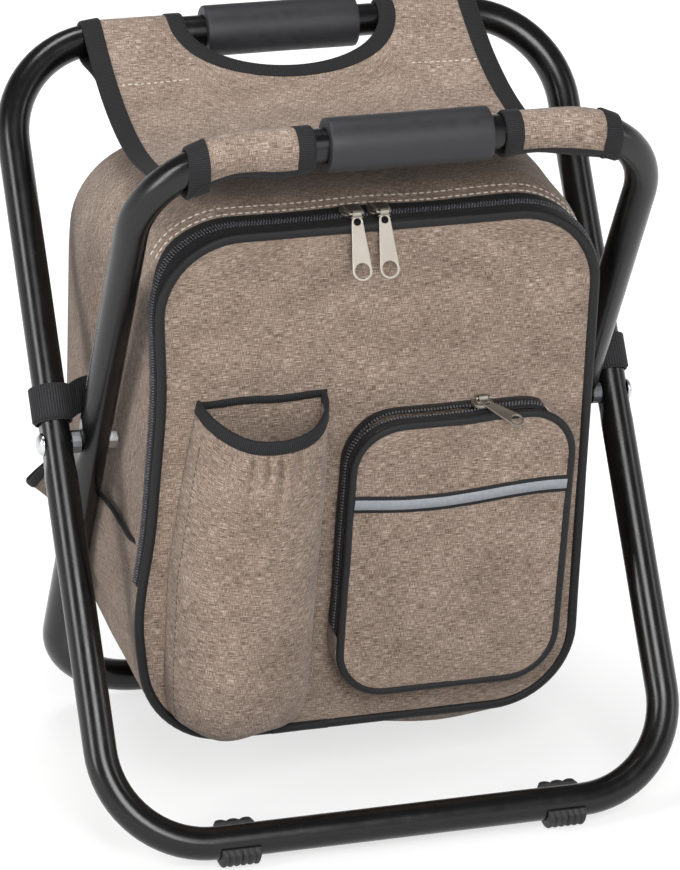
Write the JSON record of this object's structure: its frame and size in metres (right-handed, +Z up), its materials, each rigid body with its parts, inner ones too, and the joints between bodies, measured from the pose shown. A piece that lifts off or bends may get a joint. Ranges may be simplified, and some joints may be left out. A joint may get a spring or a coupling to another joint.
{
  "type": "folding cooler stool",
  "caption": "Folding stool with crossed steel tube loops, a slack cloth seat and an insulated zip-front cooler bag hung between the legs.",
  "frame": {"origin": "on the floor below the pivot axis, midway between the legs", "axes": "+Z up, front with the pockets towards -Y, +X to the right seen from the front"},
  "size_m": [0.359, 0.283, 0.4309],
  "materials": {
    "tube": "gloss black powder coat",
    "steel": "zinc plated",
    "foot_rubber": "matt",
    "grip_foam": "matt foam",
    "cloth": "taupe melange weave",
    "webbing": "black weave",
    "insulation": "closed-cell foam",
    "liner": "silvered film",
    "reflector": "retro-reflective ribbon",
    "zinc": "pale gold plated zinc"
  },
  "bodies": {
    "outer_frame": {"outer_frame_tube": "tube", "foot_front_left": "foot_rubber", "foot_front_right": "foot_rubber", "grip_rear": "grip_foam", "seat_sleeve_rear_left": "cloth", "seat_sleeve_rear_right": "cloth", "pivot_bolt_left": "steel", "pivot_bolt_right": "steel", "pivot_nut_left": "steel", "pivot_nut_right": "steel", "pivot_spacer_left": "steel", "pivot_spacer_right": "steel", "bag_strap_left": "webbing", "bag_strap_right": "webbing", "seat_panel": "cloth"},
    "inner_frame": {"inner_frame_tube": "tube", "foot_rear_left": "foot_rubber", "foot_rear_right": "foot_rubber", "grip_front": "grip_foam", "seat_sleeve_front_left": "cloth", "seat_sleeve_front_right": "cloth"},
    "cooler_bag": {"bag_gusset": "cloth", "bag_back_panel": "cloth", "bag_back_piping": "webbing", "bag_front_panel": "cloth", "bag_front_piping": "webbing", "bag_insulation": "insulation", "bag_liner": "liner", "main_zipper_bag_tape": "webbing", "side_pocket_left": "cloth", "side_pocket_right": "cloth", "side_pocket_binding_left": "webbing", "side_pocket_binding_right": "webbing"},
    "front_flap": {"flap_panel": "cloth", "flap_piping": "webbing", "flap_insulation": "insulation", "flap_liner": "liner", "main_zipper_flap_tape": "webbing", "bottle_pocket": "cloth", "bottle_pocket_binding": "webbing", "zip_pocket_gusset": "cloth", "zip_pocket_front": "cloth", "zip_pocket_piping": "webbing", "zip_pocket_front_tape": "webbing", "zip_pocket_rear_tape": "webbing", "reflective_strip": "reflector"},
    "main_slider_left": {"main_slider_left": "zinc"},
    "main_slider_right": {"main_slider_right": "zinc"},
    "pocket_slider": {"pocket_slider": "zinc"},
    "main_pull_left": {"main_pull_left": "zinc"},
    "main_pull_right": {"main_pull_right": "zinc"},
    "pocket_pull": {"pocket_pull": "zinc"}
  },
  "joints": [
    {"name": "frame_fold", "type": "hinge", "parent": "outer_frame", "child": "inner_frame", "pos_m": [0, 0, 0.215], "axis": [-1, 0, 0], "range_deg": [0, 57], "deforming": ["seat_panel", "bag_strap_left", "bag_strap_right"]},
    {"name": "bag_swing", "type": "hinge", "parent": "outer_frame", "child": "cooler_bag", "pos_m": [0, 0, 0.215], "axis": [-1, 0, 0], "range_deg": [0, 36]},
    {"name": "flap_open", "type": "hinge", "parent": "cooler_bag", "child": "front_flap", "pos_m": [0, -0.05915, 0.14124], "axis": [1, 0, 0], "range_deg": [0, 90], "deforming": ["bottle_pocket", "zip_pocket_gusset", "zip_pocket_front", "zip_pocket_piping", "zip_pocket_front_tape", "zip_pocket_rear_tape"]},
    {"name": "main_slider_left_run", "type": "slide", "parent": "front_flap", "child": "main_slider_left", "axis": [-1, 0, 0], "range_m": [0, 0.058]},
    {"name": "main_slider_right_run", "type": "slide", "parent": "front_flap", "child": "main_slider_right", "axis": [1, 0, 0], "range_m": [0, 0.07]},
    {"name": "pocket_slider_run", "type": "slide", "parent": "front_flap", "child": "pocket_slider", "axis": [-1, 0, 0], "range_m": [0, 0.045]},
    {"name": "main_pull_left_swing", "type": "hinge", "parent": "main_slider_left", "child": "main_pull_left", "pos_m": [-0.0152, -0.08341, 0.3626], "axis": [-1, 0, 0], "range_deg": [0, 90]},
    {"name": "main_pull_right_swing", "type": "hinge", "parent": "main_slider_right", "child": "main_pull_right", "pos_m": [0.0006, -0.08341, 0.3626], "axis": [-1, 0, 0], "range_deg": [0, 90]},
    {"name": "pocket_pull_swing", "type": "hinge", "parent": "pocket_slider", "child": "pocket_pull", "pos_m": [0.06, -0.08294, 0.24824], "axis": [-1, 0, 0], "range_deg": [0, 90]}
  ],
  "couplings": [
    {"joint": "bag_swing", "follows": "frame_fold", "ratio": 0.62}
  ]
}
